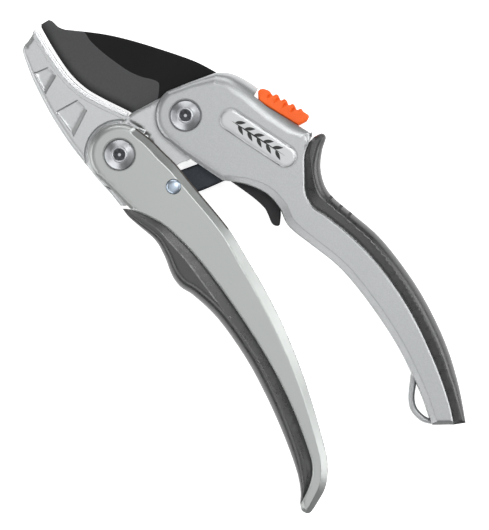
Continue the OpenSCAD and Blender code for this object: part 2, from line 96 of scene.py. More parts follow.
def joined(*lines):
    """The lines as one closed outline, without points that almost coincide."""
    p = np.vstack([np.asarray(q, float)[:, :2] for q in lines])
    keep = [i for i in range(len(p)) if np.hypot(*(p[i] - p[i - 1])) > 0.12]
    return p[keep]


def closed_line(loop):
    """The loop with its first point once more at the end."""
    return np.vstack([loop, loop[:1]])


def left_normals(line):
    g = np.gradient(line[:, :2], axis=0)
    g /= np.maximum(np.hypot(g[:, 0], g[:, 1]), 1e-9)[:, None]
    return np.stack([-g[:, 1], g[:, 0]], 1)


def beside(line, d):
    return line[:, :2] + left_normals(line) * d


def turned(p, degrees):
    a = math.radians(degrees)
    m = np.array([[math.cos(a), math.sin(a)], [-math.sin(a), math.cos(a)]])
    return np.asarray(p, float)[:, :2] @ m


def nearest(p, line, closed=False, away=None):
    """Distance from each point to the line, the line's other columns there, and the side.

    away, when given, receives the unit vectors that point away from the line."""
    a = line if closed else line[:-1]
    b = np.roll(line, -1, 0) if closed else line[1:]
    d = b[:, :2] - a[:, :2]
    long2 = np.maximum((d ** 2).sum(1), 1e-12)
    dist, cols, side = np.zeros(len(p)), np.zeros((len(p), line.shape[1] - 2)), np.zeros(len(p))
    for i in range(0, len(p), 1500):
        q = p[i:i + 1500, None, :2] - a[None, :, :2]
        t = np.clip((q * d).sum(2) / long2, 0, 1)
        g = q - t[..., None] * d
        e = np.hypot(g[..., 0], g[..., 1])
        k = e.argmin(1)
        r = np.arange(len(k))
        dist[i:i + 1500] = e[r, k]
        s = t[r, k][:, None]
        cols[i:i + 1500] = a[k, 2:] * (1 - s) + b[k, 2:] * s
        side[i:i + 1500] = np.sign(d[k, 0] * q[r, k, 1] - d[k, 1] * q[r, k, 0])
        if away is not None:
            away[i:i + 1500] = g[r, k] / np.maximum(e[r, k], 1e-9)[:, None]
    return dist, cols, side


def inside(p, loop):
    """Which of the points lie inside the closed loop."""
    x, y = p[:, 0], p[:, 1]
    out = np.zeros(len(p), bool)
    for (ax, ay), (bx, by) in zip(loop[:, :2], np.roll(loop[:, :2], -1, 0)):
        m = (ay > y) != (by > y)
        out ^= m & (x < (bx - ax) * (y - ay) / (by - ay + 1e-30) + ax)
    return out


# ------------------------------------------------------------ mesh builders

def drops(p, edges, extra=None):
    """How far the surface lies under the flat face at each point, and its slope there."""
    z, slope = np.zeros(len(p)), np.zeros((len(p), 2))
    for line, kind in edges:
        away = np.zeros((len(p), 2))
        d, c, _ = nearest(p, line, away=away)
        w, h = c[:, 0], c[:, 1]
        u = np.clip(1 - d / w, 0, 1)
        if kind == "round":
            root = np.sqrt(1 - u * u)
            r, rate = h * (1 - root), h / w * u / np.maximum(root, 0.12)
        elif kind == "bevel":
            s = w - d
            soft = np.maximum(s + BLEND, 0)
            r = h / w * np.where(s > BLEND, s, soft ** 2 / (4 * BLEND))
            rate = h / w * np.minimum(soft / (2 * BLEND), 1)
        elif kind == "swell":
            r, rate = h * u * u * (3 - 2 * u), h / w * 6 * u * (1 - u)
        else:
            r, rate = h * np.clip((w - d) / STEP + 0.5, 0, 1), np.zeros(len(p))
        deeper = r > z
        z[deeper] = r[deeper]
        slope[deeper] = (-rate[:, None] * away)[deeper]
    if extra is not None:
        z = z + extra(p)
        for axis in (0, 1):
            shift = np.zeros(2)
            shift[axis] = 0.04
            slope[:, axis] += (extra(p + shift) - extra(p - shift)) / 0.08
    return z, slope


STEP = 0.2                       # width of the wall of a step, mm
ROW = 0.866                      # distance between the rows of a triangular grid of pitch 1
RIM_GAP = 0.04                   # least distance of a loose mesh point from the rim, mm
LINE_GAP = 0.12                  # and from a line that the mesh follows, mm
POINT_GAP = 0.15                 # and from its neighbours, mm
RING_SLACK = 0.06                # a ring point nearer to its edge than it should be is left out, mm
BLEND = 0.22                     # half width of the blend along a bevel's crease, mm
RINGS = {"round": (0.02, 0.07, 0.15, 0.26, 0.4, 0.58, 0.78, 1.0),
         "bevel": (0.12, 0.5, 0.9, 1.0, 1.1),
         "swell": (0.1, 0.25, 0.4, 0.55, 0.7, 0.85, 1.0),
         "step": ()}


SHAPES = {}                      # what each relief's surface was worked out from
TINY = 0.004                     # mesh edges shorter than this are dissolved, mm
SLIVER = 0.003                   # triangles smaller than this have no normal to trust, mm2
STEEP = 0.25                     # faces with a normal flatter than this are walls
ON_FACE = 0.03                   # how close a corner lies to the surface it belongs to, mm


def to_mesh(name, verts, faces):
    me = bpy.data.meshes.new(name)
    me.from_pydata([tuple(v) for v in np.asarray(verts, float) * MM], [], faces)
    me.validate()
    ob = bpy.data.objects.new(name, me)
    bpy.context.scene.collection.objects.link(ob)
    return ob


def spaced(points, gap):
    """The points without those that lie closer than gap to an earlier one."""
    tree = KDTree(len(points))
    for i, p in enumerate(points):
        tree.insert((p[0], p[1], 0), i)
    tree.balance()
    keep = np.ones(len(points), bool)
    for i, p in enumerate(points):
        if keep[i]:
            for _, j, _ in tree.find_range((p[0], p[1], 0), gap):
                if j > i:
                    keep[j] = False
    return points[keep]


def within(line, loop):
    """The stretches of the line that lie clear inside the loop."""
    d, _, _ = nearest(line, loop, closed=True)
    ok = inside(line, loop) & (d > LINE_GAP)
    runs, start = [], None
    for i, good in enumerate(list(ok) + [False]):
        if good and start is None:
            start = i
        elif not good and start is not None:
            if i - start > 2:
                runs.append(line[start:i])
            start = None
    return runs


def relief(name, loop, half, edges, mid=MID, grid=1.5, extra=None, lines=(), one_sided=None):
    """A plate about the height mid whose two faces fall away towards its edges.

    edges are pairs of a line made by edge() and its kind, extra(points) adds a further drop, and
    lines are lines that the mesh follows. one_sided is the height of a flat underside instead."""
    loop = np.asarray(loop, float)[:, :2]
    cloud = []
    for line, kind in edges:
        n = left_normals(line)
        for f in RINGS[kind]:
            w = line[:, 2] * f
            q = line[:, :2] + n * w[:, None]
            d, _, _ = nearest(q, line)
            cloud.append(q[np.abs(d - w) < RING_SLACK])
    lo, hi = loop.min(0), loop.max(0)
    for i, y in enumerate(np.arange(lo[1], hi[1], grid * ROW)):
        x = np.arange(lo[0] + (i % 2) * grid / 2, hi[0], grid)
        cloud.append(np.column_stack([x, np.full(len(x), y)]))
    fixed = [np.asarray(q, float)[:, :2] for q in lines]
    for line, kind in edges:
        if kind == "step":
            n = left_normals(line)
            fixed += [line[:, :2] + n * (line[:, 2:3] + s * STEP / 2) for s in (-1, 1)]
    fixed = [kept for q in fixed for kept in within(q, loop)]
    cloud = np.vstack(cloud)
    cloud = cloud[inside(cloud, loop)]
    d, _, _ = nearest(cloud, loop, closed=True)
    cloud = cloud[d > RIM_GAP]
    for q in fixed:
        d, _, _ = nearest(cloud, q)
        cloud = cloud[d > LINE_GAP]
    cloud = spaced(cloud, POINT_GAP)
    everything = [loop] + fixed + [cloud]
    n = len(loop)
    constraint = [(i, (i + 1) % n) for i in range(n)]
    start = n
    for q in fixed:
        constraint += [(start + i, start + i + 1) for i in range(len(q) - 1)]
        start += len(q)
    co = [Vector(v) for v in np.vstack(everything)]
    verts, _, tris, origin, _, _ = delaunay_2d_cdt(co, constraint, [], 1, 1e-6)
    v = np.array([tuple(q) for q in verts])
    index = {}
    for i, ids in enumerate(origin):
        for k in ids:
            index[k] = i
    rim = [index[i] for i in range(n)]
    z = half - drops(v, edges, extra)[0]
    m = len(v)
    low = -z if one_sided is None else np.full(m, one_sided)
    top = np.column_stack([v, mid + z])
    bottom = np.column_stack([v, mid + low])
    faces = []
    for t in tris:
        a, b, c = (v[i] for i in t)
        area = (b[0] - a[0]) * (c[1] - a[1]) - (b[1] - a[1]) * (c[0] - a[0])
        t = list(t) if area > 0 else list(t)[::-1]
        faces.append(t)
        faces.append([i + m for i in reversed(t)])
    for a, b in zip(rim, rim[1:] + rim[:1]):
        if a != b:
            faces.append([a + m, b + m, b, a])
    SHAPES[name] = (half, edges, mid, extra)
    return to_mesh(name, np.vstack([top, bottom]), faces)


def prism(outline, z0, z1, name="cutter"):
    """The outline as a solid from height z0 to z1."""
    p = np.asarray(outline, float)[:, :2]
    area = (p[:, 0] * np.roll(p[:, 1], -1) - np.roll(p[:, 0], -1) * p[:, 1]).sum()
    if area < 0:
        p = p[::-1]
    n = len(p)
    v = np.vstack([np.column_stack([p, np.full(n, z0)]), np.column_stack([p, np.full(n, z1)])])
    faces = [list(range(n))[::-1], [i + n for i in range(n)]]
    faces += [[i, (i + 1) % n, (i + 1) % n + n, i + n] for i in range(n)]
    return to_mesh(name, v, faces)


def lathe(name, profile, centre, n=96):
    """A closed solid turned about Z from (radius, height) pairs that start and end at radius 0."""
    p = np.array(profile, float)
    v, faces = [], []
    rows = []
    for r, z in p:
        if r < 1e-6:
            rows.append([len(v)])
            v.append((centre[0], centre[1], z))
        else:
            rows.append(list(range(len(v), len(v) + n)))
            v += [(centre[0] + r * math.cos(2 * math.pi * i / n),
                   centre[1] + r * math.sin(2 * math.pi * i / n), z) for i in range(n)]
    for a, b in zip(rows[:-1], rows[1:]):
        for i in range(n):
            j = (i + 1) % n
            if len(a) == 1:
                faces.append([a[0], b[i], b[j]])
            elif len(b) == 1:
                faces.append([a[j], a[i], b[0]])
            else:
                faces.append([a[i], b[i], b[j], a[j]])
    return to_mesh(name, v, faces)


def bake(ob):
    """Applies the object's modifiers to its mesh."""
    me = bpy.data.meshes.new_from_object(
        ob.evaluated_get(bpy.context.evaluated_depsgraph_get()))
    ob.modifiers.clear()
    ob.data = me


def hole(centre, r, z0, z1, n=48):
    return prism(arc(centre, r, 0, 355, n), z0, z1)


def bolt_holes(centre):
    """Cutters for a bolt's shank, its head's counterbore and its nut in a handle."""
    return (hole(centre, 3.05, -1, 17), hole(centre, 6.5, 13.6, 18, 72),
            hole(centre, 5.6, -1, 2.05, 72))


def cut(ob, *cutters):
    """Takes the cutters away from the object, in order, and deletes them."""
    for c in cutters:
        m = ob.modifiers.new("cut", "BOOLEAN")
        m.operation = "DIFFERENCE"
        m.solver = "EXACT"
        m.object = c
        bpy.context.view_layer.update()
        bake(ob)
        bpy.data.objects.remove(c)
    return ob


def smooth(ob, degrees):
    """Smooth shading with edges kept sharp where faces meet at more than the angle."""
    bm = bmesh.new()
    bm.from_mesh(ob.data)
    bmesh.ops.dissolve_degenerate(bm, dist=TINY * MM, edges=bm.edges)
    bm.to_mesh(ob.data)
    bm.free()
    me = ob.data
    me.polygons.foreach_set("use_smooth", [True] * len(me.polygons))
    me.set_sharp_from_angle(angle=math.radians(degrees))
    me.update()


def true_normals(ob):
    """Shades a relief's two faces with the slope of the surface itself, not of its triangles."""
    half, edges, mid, extra = SHAPES[ob.name]
    me = ob.data
    co = np.array([v.co[:] for v in me.vertices]) / MM
    z, slope = drops(co[:, :2], edges, extra)
    on_face = np.abs(np.abs(co[:, 2] - mid) - (half - z)) < ON_FACE
    exact = np.column_stack([slope, np.ones(len(co))])
    exact /= np.linalg.norm(exact, axis=1)[:, None]
    normals = np.array([n.vector[:] for n in me.corner_normals])
    for q in me.polygons:
        if abs(q.normal.z) > STEEP or q.area < SLIVER * MM * MM:
            for k in q.loop_indices:
                i = me.loops[k].vertex_index
                if on_face[i]:
                    normals[k] = exact[i] * (1, 1, 1 if co[i, 2] > mid else -1)
    me.normals_split_custom_set([tuple(n) for n in normals])


def finished(ob, body, slot, material, *nodes, angle=28):
    """Shades the piece, gives it its material and body, and lets it replace the nodes. slot is not
    used.
    """
    smooth(ob, angle)
    if ob.name in SHAPES:
        true_normals(ob)
    ob.data.materials.clear()
    ob.data.materials.append(material)
    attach(ob, body)
    if nodes:
        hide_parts(*nodes)
    return ob


# ---------------------------------------------------------------- materials

class Nodes:
    """A short way to write a Principled material's node tree."""

    def __init__(self, name):
        self.material = bpy.data.materials.new(name)
        self.material.use_nodes = True
        self.tree = self.material.node_tree
        self.shader = self.tree.nodes["Principled BSDF"]
        self.place = self.add("ShaderNodeTexCoord").outputs["Object"]

    def add(self, kind, **settings):
        node = self.tree.nodes.new(kind)
        for k, v in settings.items():
            setattr(node, k, v)
        return node

    def link(self, a, b):
        self.tree.links.new(a, b)

    def noise(self, scale, detail=3.0, rough=0.5, stretch=None):
        n = self.add("ShaderNodeTexNoise")
        n.inputs["Scale"].default_value = scale
        n.inputs["Detail"].default_value = detail
        n.inputs["Roughness"].default_value = rough
        if stretch:
            m = self.add("ShaderNodeMapping")
            m.inputs["Scale"].default_value = stretch
            self.link(self.place, m.inputs["Vector"])
            self.link(m.outputs["Vector"], n.inputs["Vector"])
        else:
            self.link(self.place, n.inputs["Vector"])
        return n.outputs["Fac"]

    def ramp(self, value, stops):
        r = self.add("ShaderNodeValToRGB")
        els = r.color_ramp.elements
        while len(els) < len(stops):
            els.new(0.5)
        for e, (pos, col) in zip(els, stops):
            e.position = pos
            e.color = (*col, 1) if len(col) == 3 else col
        self.link(value, r.inputs["Fac"])
        return r.outputs["Color"]

    def spread(self, value, low, high):
        m = self.add("ShaderNodeMapRange")
        m.inputs["From Min"].default_value = 0.3
        m.inputs["From Max"].default_value = 0.7
        m.inputs["To Min"].default_value = low
        m.inputs["To Max"].default_value = high
        self.link(value, m.inputs["Value"])
        return m.outputs["Result"]

    def mix(self, a, b, fac, mode="MIX"):
        m = self.add("ShaderNodeMix", data_type="RGBA", blend_type=mode)
        for socket, v in ((m.inputs[6], a), (m.inputs[7], b), (m.inputs[0], fac)):
            if isinstance(v, (int, float)):
                socket.default_value = v
            elif isinstance(v, tuple):
                socket.default_value = (*v, 1)
            else:
                self.link(v, socket)
        return m.outputs[2]

    def bump(self, height, distance, strength):
        b = self.add("ShaderNodeBump")
        b.inputs["Strength"].default_value = strength
        b.inputs["Distance"].default_value = distance
        self.link(height, b.inputs["Height"])
        return b.outputs["Normal"]

    def set(self, **inputs):
        for k, v in inputs.items():
            socket = self.shader.inputs[k.replace("_", " ")]
            if isinstance(v, (int, float)):
                socket.default_value = v
            elif isinstance(v, tuple):
                socket.default_value = (*v, 1)
            else:
                self.link(v, socket)
        return self.material


def shade(c, k):
    return tuple(min(1.0, x * k) for x in c)


def metal_paint(name, colour, rough=0.36, grain=2600, speckle=0.06, metallic=0.85, grit=0.25):
    """Fine metallic paint: flakes and slow cloudiness."""
    n = Nodes(name)
    flakes = n.noise(grain, 2.0, 0.6)
    clouds = n.noise(38, 3.0, 0.5)
    base = n.ramp(flakes, [(0.34, shade(colour, 1 - speckle)), (0.68, shade(colour, 1 + speckle))])
    base = n.mix(base, n.ramp(clouds, [(0.3, (0.975, 0.978, 0.98)), (0.7, (1, 1, 1))]), 1.0, "MULTIPLY")
    return n.set(Base_Color=base, Metallic=metallic,
                 Roughness=n.spread(n.noise(260, 3.0), rough - 0.012, rough + 0.012),
                 Normal=n.bump(flakes, 0.00003, grit))


def bare_metal(name, colour, rough=0.3, grain=900, stretch=None, relief_mm=0.003, metallic=1.0,
               uneven=0.06):
    n = Nodes(name)
    lines = n.noise(grain, 4.0, 0.6, stretch)
    stains = n.noise(120, 4.0, 0.6)
    base = n.ramp(lines, [(0.3, shade(colour, 1 - uneven)), (0.7, shade(colour, 1 + uneven))])
    dull = 1 - uneven
    base = n.mix(base, n.ramp(stains, [(0.35, (dull, dull, dull)), (0.65, (1, 1, 1))]), 1.0, "MULTIPLY")
    return n.set(Base_Color=base, Metallic=metallic,
                 Roughness=n.spread(lines, rough - 0.015, rough + 0.015),
                 Normal=n.bump(lines, relief_mm * MM, 0.6))


def moulded(name, colour, rough, grain, relief_mm, level):
    """Moulded plastic or rubber with a fine spark-eroded grain."""
    n = Nodes(name)
    fine = n.noise(grain, 2.0, 0.55)
    blotch = n.noise(60, 3.0, 0.5)
    base = n.ramp(blotch, [(0.3, shade(colour, 0.88)), (0.7, shade(colour, 1.12))])
    n.shader.inputs["Specular IOR Level"].default_value = level
    return n.set(Base_Color=base, Roughness=n.spread(n.noise(420, 2.0), rough - 0.05, rough + 0.05),
                 Normal=n.bump(fine, relief_mm * MM, 0.5))


UPPER_PAINT = metal_paint("upper_paint", (0.41, 0.42, 0.425), 0.36)
LOWER_PAINT = metal_paint("lower_paint", (0.41, 0.425, 0.415), 0.34, 4200, 0.025, 0.85, 0.02)
ARM_ALLOY = metal_paint("arm_alloy", (0.50, 0.51, 0.515), 0.36, 2200, 0.05, 0.88, 0.15)
STRIP_STEEL = bare_metal("strip_steel", (0.70, 0.71, 0.72), 0.30, 500, (1, 1, 6), 0.0, 1.0, 0.03)
PLAIN_STEEL = bare_metal("plain_steel", (0.5, 0.51, 0.53), 0.34)
BOLT_ZINC = bare_metal("bolt_zinc", (0.50, 0.51, 0.53), 0.30, 700, None, 0.0005)
# painted shade: near-black metal for the bolt sockets' faces, standing in for the shade in the recess
SOCKET_PAINTED_SHADE = bare_metal("socket_painted_shade", (0.09, 0.092, 0.1), 0.5, 900)
# painted shade: dark metal for the step faces along the lower handle's palm edge, standing in for the
# shade in its channel
CHANNEL_PAINTED_SHADE = bare_metal("channel_painted_shade", (0.10, 0.09, 0.085), 0.45, 900)
RIVET_ZINC = bare_metal("rivet_zinc", (0.45, 0.53, 0.62), 0.3, 800)
BRONZE = bare_metal("bush_bronze", (0.55, 0.4, 0.18), 0.38)
SPRING_STEEL = bare_metal("spring_steel", (0.34, 0.35, 0.37), 0.3)
BLADE_COAT = moulded("blade_coating", (0.007, 0.007, 0.0073), 0.45, 1800, 0.02, 0.12)


def bevel_painted_sheen():
    """The coated bevel: painted paler than the flat as a painted reflection on the same coating, and
    darker towards the cutting edge.
    """
    n = Nodes("blade_bevel_painted_sheen")
    near = n.add("ShaderNodeAttribute", attribute_name="near_edge").outputs["Fac"]
    tone = n.ramp(near, [(0.0, (0.060, 0.060, 0.062)), (0.55, (0.035, 0.035, 0.036)),
                         (1.0, (0.010, 0.010, 0.010))])
    lines = n.noise(1500, 3.0, 0.6)
    tone = n.mix(tone, n.ramp(lines, [(0.3, (0.85, 0.85, 0.86)), (0.7, (1, 1, 1))]), 1.0, "MULTIPLY")
    n.shader.inputs["Specular IOR Level"].default_value = 0.35
    return n.set(Base_Color=tone, Roughness=n.spread(n.noise(300, 3.0), 0.42, 0.5),
                 Normal=n.bump(lines, 0.00002, 0.5))


BLADE_BEVEL_PAINTED_SHEEN = bevel_painted_sheen()
LINK_BLACK = metal_paint("link_black", (0.03, 0.036, 0.045), 0.45, 1500, 0.15, 0.5)
TRIGGER_BLACK = moulded("trigger_black", (0.012, 0.012, 0.014), 0.5, 1500, 0.03, 0.35)
GRIP_RUBBER = moulded("grip_rubber", (0.010, 0.0105, 0.011), 0.30, 1300, 0.02, 1.0)
ORANGE = moulded("slider_orange", (1.0, 0.135, 0.016), 0.40, 1300, 0.02, 0.3)
BADGE_FOIL = metal_paint("badge_foil", (0.52, 0.53, 0.535), 0.34, 2400, 0.02, 0.7)
BADGE_INK = moulded("badge_ink", (0.02, 0.02, 0.021), 0.4, 1400, 0.01, 0.4)


# ------------------------------------------------------------- upper handle

upper_head = arc((0, 0), 11.7, 96, 200, 34)
upper_left = spline([(-11, -4), (-8, -12.3), (-4.4, -20.2), (-0.4, -28.6)])
upper_palm = spline([(-0.4, -28.6), (3, -31.2), (7.8, -36), (11.6, -42), (13, -49), (12.4, -55),
                     (13.2, -59.4), (16.2, -67), (21, -79.6), (23.5, -93), (24.9, -110),
                     (24.9, -122), (24.2, -130), (23.8, -134.5), (22.9, -141), (21.6, -147),
                     (20.9, -150.7)])
upper_end = straight([(20.9, -150.7), (28, -154.8)])
upper_seam = spline([(35.8, -33), (31.6, -36.4), (27.6, -43), (24.4, -49), (24.1, -55),
                     (27, -61.4), (31, -72.3), (34, -85), (35.6, -100), (35.5, -115),
                     (33.6, -132), (30.8, -146), (28, -154.8)])
upper_spine = spline([(37.8, -31.6), (38.6, -29.4), (35.8, -22), (32, -12), (29.4, -4.8),
                      (26, 1.8), (22.8, 5.7), (18.9, 8.2)])
upper_crown = spline([(18.9, 8.2), (8.8, 10.1), (-1.22, 11.64)])
upper_outer = spline([(32.4, -156.6), (37.8, -142), (41.4, -127), (43, -111), (42.8, -96),
                      (40.6, -79), (36.4, -66), (33.2, -57), (32.4, -51), (34.4, -44),
                      (38.4, -38.4), (42.2, -34.8), (41.6, -32.6), (38.4, -32.3)])
TRACK = np.array([27.4, -10.7])
TRACK_TURN = -61.6


def on_track(p):
    return turned(p, TRACK_TURN) + TRACK


badge_a, badge_b = np.array([14.1, -10.4]), np.array([25.0, -33.2])
badge_turn = math.degrees(math.atan2(*(badge_b - badge_a)[::-1]))


def capsule(r, n=28):
    """The badge's outline at radius r."""
    return np.vstack([arc(badge_a, r, badge_turn + 90, badge_turn + 270, n),
                      arc(badge_b, r, badge_turn - 90, badge_turn + 90, n)])


tang = joined(arc((0, 0), 16, 250, 355, 16), [(19.4, -6.6), (18.6, 1.4), (12, 7), (4, 9.4),
                                            (-6.3, 11), (-30, 11), (-30, -16)])
works = np.array([(-16, -6), (-8, -34), (3, -60), (16.6, -57), (18.5, -46), (20.5, -32),
                  (25.6, -21), (24.4, -14), (19.5, -3.6), (8, -4)])
upper_loop = joined(upper_head, upper_left, upper_palm, upper_end, upper_seam[::-1],
                    upper_spine, upper_crown)
upper_edges = [
    (edge(upper_head, 2.7, (1.6, 1.8, 1.2)), "round"),
    (edge(upper_left, (1.3, 1.6, 1.7), 1.1), "bevel"),
    (edge(upper_palm, (1.7, 2.8, 3.0, 2.6, 2.6, 2.5, 2.4, 2.3, 2.2), 0.95), "bevel"),
    (edge(upper_palm, 0.9, 1.6), "round"),
    (edge(upper_end, 1.6, 1.2), "bevel"),
    (edge(upper_seam[::-1], 0.55, 0.4), "bevel"),
    (edge(upper_spine, (3.0, 7.0, 8.0, 8.0, 7.4, 5.4), (3.0, 6.6, 7.3, 7.3, 6.4, 3.6)), "round"),
    (edge(upper_crown, (5.2, 3.2, 2.7), (3.4, 1.9, 1.6)), "round")]
seam_in = upper_seam[::-1]
upper = relief("upper_handle_shell", upper_loop, 8.0, upper_edges,
               lines=[beside(seam_in, w)[6:-6] for w in (0.33, 0.77)])
cut(upper,
    prism(tang, 4, 12),
    prism(joined(arc((0, 0), 21.9, 12, 180, 48), [(-30, 0), (-30, 34), (20, 34)]), 6, 10),
    prism(arc((0, 0), 21.9, 0, 359, 72), 6, 10),
    prism(works, 6.3, 9.7),
    prism(on_track([(-3.9, 0), (22.2, 0), (22.2, 14), (-3.9, 14)]), 1.3, 14.7),
    prism(on_track([(3.5, -4), (11.5, -4), (11.5, 1), (3.5, 1)]), 6.3, 9.7),
    prism(on_track([(-10.6, -7.2), (13.5, -7.2), (13.5, -2.6), (-10.6, -2.6)]), 6.3, 9.7),
    *bolt_holes((0, 0)),
    prism(capsule(4.75), 15.4, 18))
finished(upper, "frame", "handle_paint", UPPER_PAINT, "upper_handle")

loop_outer = spline([(25.5, -128), (21.4, -133), (18, -138), (16.7, -142.5), (18, -147.6),
                     (21.2, -151)])
loop_inner = spline([(22, -149.2), (20.2, -146.4), (19.3, -142.5), (20.4, -138.6),
                     (23.6, -134.4), (25.4, -132.4)])
eye = joined(loop_outer, [(24.4, -150), (22.6, -149.4)], loop_inner, [(26.4, -131)])
eye_ob = relief("hanging_eye_bar", eye, 3.2, [(edge(loop_outer, 1.15, 1.5), "round"),
                                             (edge(loop_inner, 1.15, 1.5), "round")], grid=0.8)
finished(eye_ob, "frame", "handle_paint", UPPER_PAINT)

upper_grip_loop = joined(upper_seam, [(32.4, -156.6)], upper_outer)
upper_grip_edges = [
    (edge(upper_seam, (0.9, 4.6, 5.2, 5.4, 5.4, 5.0, 4.4, 2.0),
          (0.6, 1.5, 1.7, 1.7, 1.6, 1.4, 1.2, 0.8)), "bevel"),
    (edge(straight([(28, -154.8), (32.4, -156.6)]), 1.2, 1.0), "bevel"),
    (edge(upper_outer, (1.6, 4.8, 5.4, 5.8, 5.6, 5.0, 4.4, 1.6),
          (1.4, 5.6, 6.2, 6.4, 6.2, 5.6, 4.6, 1.6)), "round")]
upper_grip = relief("upper_grip_moulding", upper_grip_loop, 7.7, upper_grip_edges, grid=1.1)
rib = upper_seam[14:-14]
cut(upper_grip, prism(np.vstack([beside(rib, -0.7), beside(rib, 3.05)[::-1]]), 4.95, 11.05))
grooves = []
for x, y in ((36.1, -64.6), (34.6, -60.3), (32.8, -55.4)):
    bar = turned([(-3.2, -0.55), (3.4, -0.55), (3.4, 0.55), (-3.2, 0.55)], 14) + (x, y)
    grooves += [prism(bar, 10.4, 18), prism(bar, -2, 5.6)]
cut(upper_grip, *grooves)
finished(upper_grip, "frame", "grip_rubber", GRIP_RUBBER, "upper_grip")

badge_rim = capsule(4.2)
badge = relief("badge_dome", badge_rim, 0.9, [(edge(closed_line(badge_rim), 1.5, 0.42), "round")],
               mid=15.4, one_sided=0.0, grid=0.9)
finished(badge, "frame", "badge_silver", BADGE_FOIL, "badge")


def leaf(root, tip, width, n=14):
    """A pointed leaf's outline from root to tip."""
    t = np.linspace(0, 1, n)
    root, tip = np.array(root, float), np.array(tip, float)
    along = root + (tip - root) * t[:, None]
    side = np.array([-(tip - root)[1], (tip - root)[0]]) / np.hypot(*(tip - root))
    w = width * np.sin(math.pi * t ** 0.8) / 2
    return np.vstack([along - side * w[:, None], (along + side * w[:, None])[::-1][1:-1]])


def on_badge(p):
    return turned(p, badge_turn) + badge_a


motif = [leaf((0.0, -0.15), (25.5, 0.1), 0.55)]
for x in (2.0, 6.3, 10.6, 14.9, 19.2):
    motif.append(leaf((x, 0.15), (x + 3.6, 2.35), 1.35))
    motif.append(leaf((x + 1.6, -0.15), (x + 5.2, -2.3), 1.35))
motif = [prism(on_badge(m), 16.26, 16.36, "motif") for m in motif]
v, f = [], []
for m in motif:
    f += [[i + len(v) for i in p.vertices] for p in m.data.polygons]
    v += [tuple(q.co / MM) for q in m.data.vertices]
    bpy.data.objects.remove(m)
finished(to_mesh("badge_twig", v, f), "frame", "badge_silver", BADGE_INK)


# ------------------------------------------------------------- lower handle

lower_head = arc((0, 0), 12, 25, 185, 50)
lower_cheek = spline([(-11.8, -2), (-10.4, -6.5), (-8.7, -13), (-6.9, -20.4)])
lower_seam = spline([(-6.9, -20.4), (-2.3, -26.4), (1.6, -33.8), (5.2, -47.5), (7.4, -64),
                     (8.7, -84), (8.8, -102), (7.5, -118), (4.9, -133), (2.6, -141),
                     (-2, -146.6), (-8.8, -151)])
lower_palm = spline([(-8.8, -151), (-9.5, -153.6), (-7.5, -155.7), (-3.2, -154), (3, -150.2),
                     (7.7, -144), (10.8, -136), (16.9, -112), (20.4, -91), (21.7, -74),
                     (21.8, -60), (21.6, -46), (19.2, -30), (17.9, -21.7), (16.8, -14.3),
                     (14.9, -7), (13.5, -1.5), (10.9, 5.1)])
lower_outer = spline([(-8.8, -151), (-6.2, -147), (-3.4, -139), (-0.6, -124), (1.2, -108),
                      (1.8, -92), (0.4, -74), (-3, -61.5), (-5.8, -55.6), (-6.3, -50),
                      (-5, -42), (-5, -35), (-7.8, -26.5), (-9.2, -22), (-9.6, -18.3)])
lower_loop = joined(lower_head, lower_cheek, lower_seam, lower_palm) + P2
palm_world = lower_palm + P2
high = palm_world[palm_world[:, 1] > -45.5]
lower_edges = [
    (edge(lower_head + P2, 2.9, 1.9), "round"),
    (edge(lower_cheek + P2, 1.4, 1.0), "bevel"),
    (edge(lower_seam + P2, 0.6, 0.45), "bevel"),
    (edge(palm_world, (1.4, 2.4, 2.8, 2.7, 2.8, 3.2, 3.6, 3.7, 3.6, 3.3, 3.1, 3.3, 3.5, 2.9),
          (1.0, 1.6, 2.0, 2.1, 2.3, 2.4, 2.5, 2.5, 2.4, 2.3, 2.3, 2.3, 2.4, 1.9)), "bevel"),
    (edge(high, 0.5, 1.6), "step")]
lower = relief("lower_handle_shell", lower_loop, 8.0, lower_edges,
               lines=[beside(lower_seam + P2, w)[6:-6] for w in (0.38, 0.82)])
fork = joined([(27, 24), (27, -20.4)], arc((12.8, -24.3), 5.7, 20, 118, 12),
              arc((0, 0), 20.4, 296, 180, 24), [(-24, 24)]) + P2
link_slot = np.array([(5.4, -16), (5.6, -25), (9, -38), (15, -46), (30, -46), (30, -16)]) + P2
cut(lower,
    prism(fork, 3.8, 12.2),
    prism(link_slot, 6, 10),
    *bolt_holes(P2),
    hole(P3, 3.0, 15, 18),
    hole(P3, 3.0, -1, 1),
    hole(P3, 2.05, 0, 16))
finished(lower, "lower_handle", "lower_paint", LOWER_PAINT, "lower_handle")
# the step faces by the upper palm edge take the dark material as painted shade
lower.data.materials.append(CHANNEL_PAINTED_SHADE)
centres = np.array([q.center[:] for q in lower.data.polygons]) / MM
d, _, _ = nearest(centres, high)
painted_shade_ledge = (d < 0.6) & (np.abs(centres[:, 2] - MID) > 3)
lower.data.polygons.foreach_set("material_index", painted_shade_ledge.astype(int).tolist())

lower_grip_loop = joined(lower_outer[::-1], lower_seam[::-1])
lower_grip_edges = [
    (edge(lower_seam[::-1] + P2, (0.8, 3.0, 4.4, 4.6, 4.6, 4.4, 3.6, 0.8),
          (0.5, 1.2, 1.7, 1.8, 1.8, 1.6, 1.2, 0.5)), "bevel"),
    (edge(lower_outer[::-1] + P2, (1.0, 3.0, 4.2, 4.6, 5.0, 4.8, 3.6, 1.2),
          (0.8, 3.6, 5.4, 5.8, 6.0, 5.6, 4.2, 1.2)), "round")]
lower_grip = relief("lower_grip_moulding", lower_grip_loop + P2, 7.7, lower_grip_edges, grid=1.1)
rib = lower_seam[14:-14]
cut(lower_grip, prism(np.vstack([beside(rib, 0.7), beside(rib, -3.05)[::-1]]) + P2, 4.95, 11.05))
finished(lower_grip, "lower_handle", "grip_rubber", GRIP_RUBBER, "lower_grip")


# --------------------------------------------------------------------- jaws

